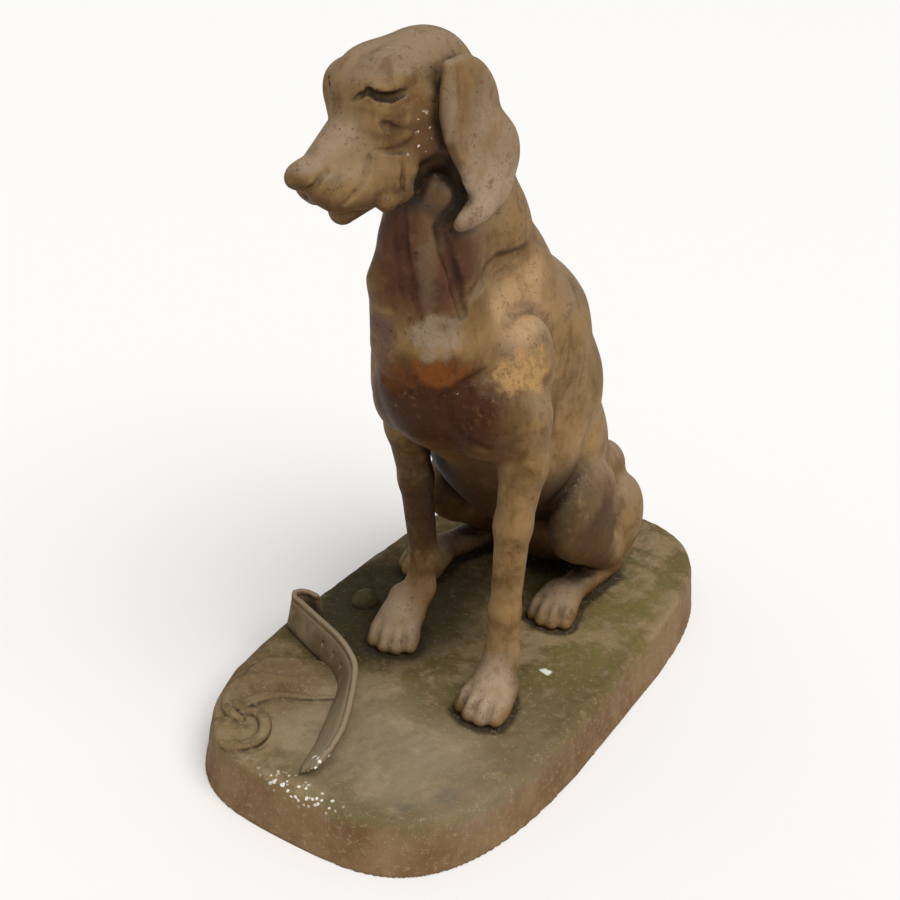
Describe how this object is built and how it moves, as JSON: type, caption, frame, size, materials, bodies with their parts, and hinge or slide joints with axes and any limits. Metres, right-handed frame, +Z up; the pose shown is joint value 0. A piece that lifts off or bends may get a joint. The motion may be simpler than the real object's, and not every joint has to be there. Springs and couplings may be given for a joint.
{
  "type": "dog statue",
  "caption": "Life-size seated hound in weathered cast iron, on an oval-ended plinth with its collar and lead lying before its feet.",
  "frame": {"origin": "middle of the plinth's underside", "axes": "+Z up, the hound faces -Y and its left side is +X"},
  "size_m": [0.456, 0.86, 0.8878],
  "materials": {
    "hound_iron": "bare cast iron, weathered to taupe, olive and red-brown rust",
    "plinth_iron": "bare cast iron, brown with green algae on top and rust runs down the sides",
    "strap_iron": "bare cast iron, dull taupe-brown with pale lime specks at the tip"
  },
  "bodies": {
    "root": {"hound": "hound_iron", "plinth": "plinth_iron", "collar_strap": "strap_iron"}
  },
  "joints": []
}
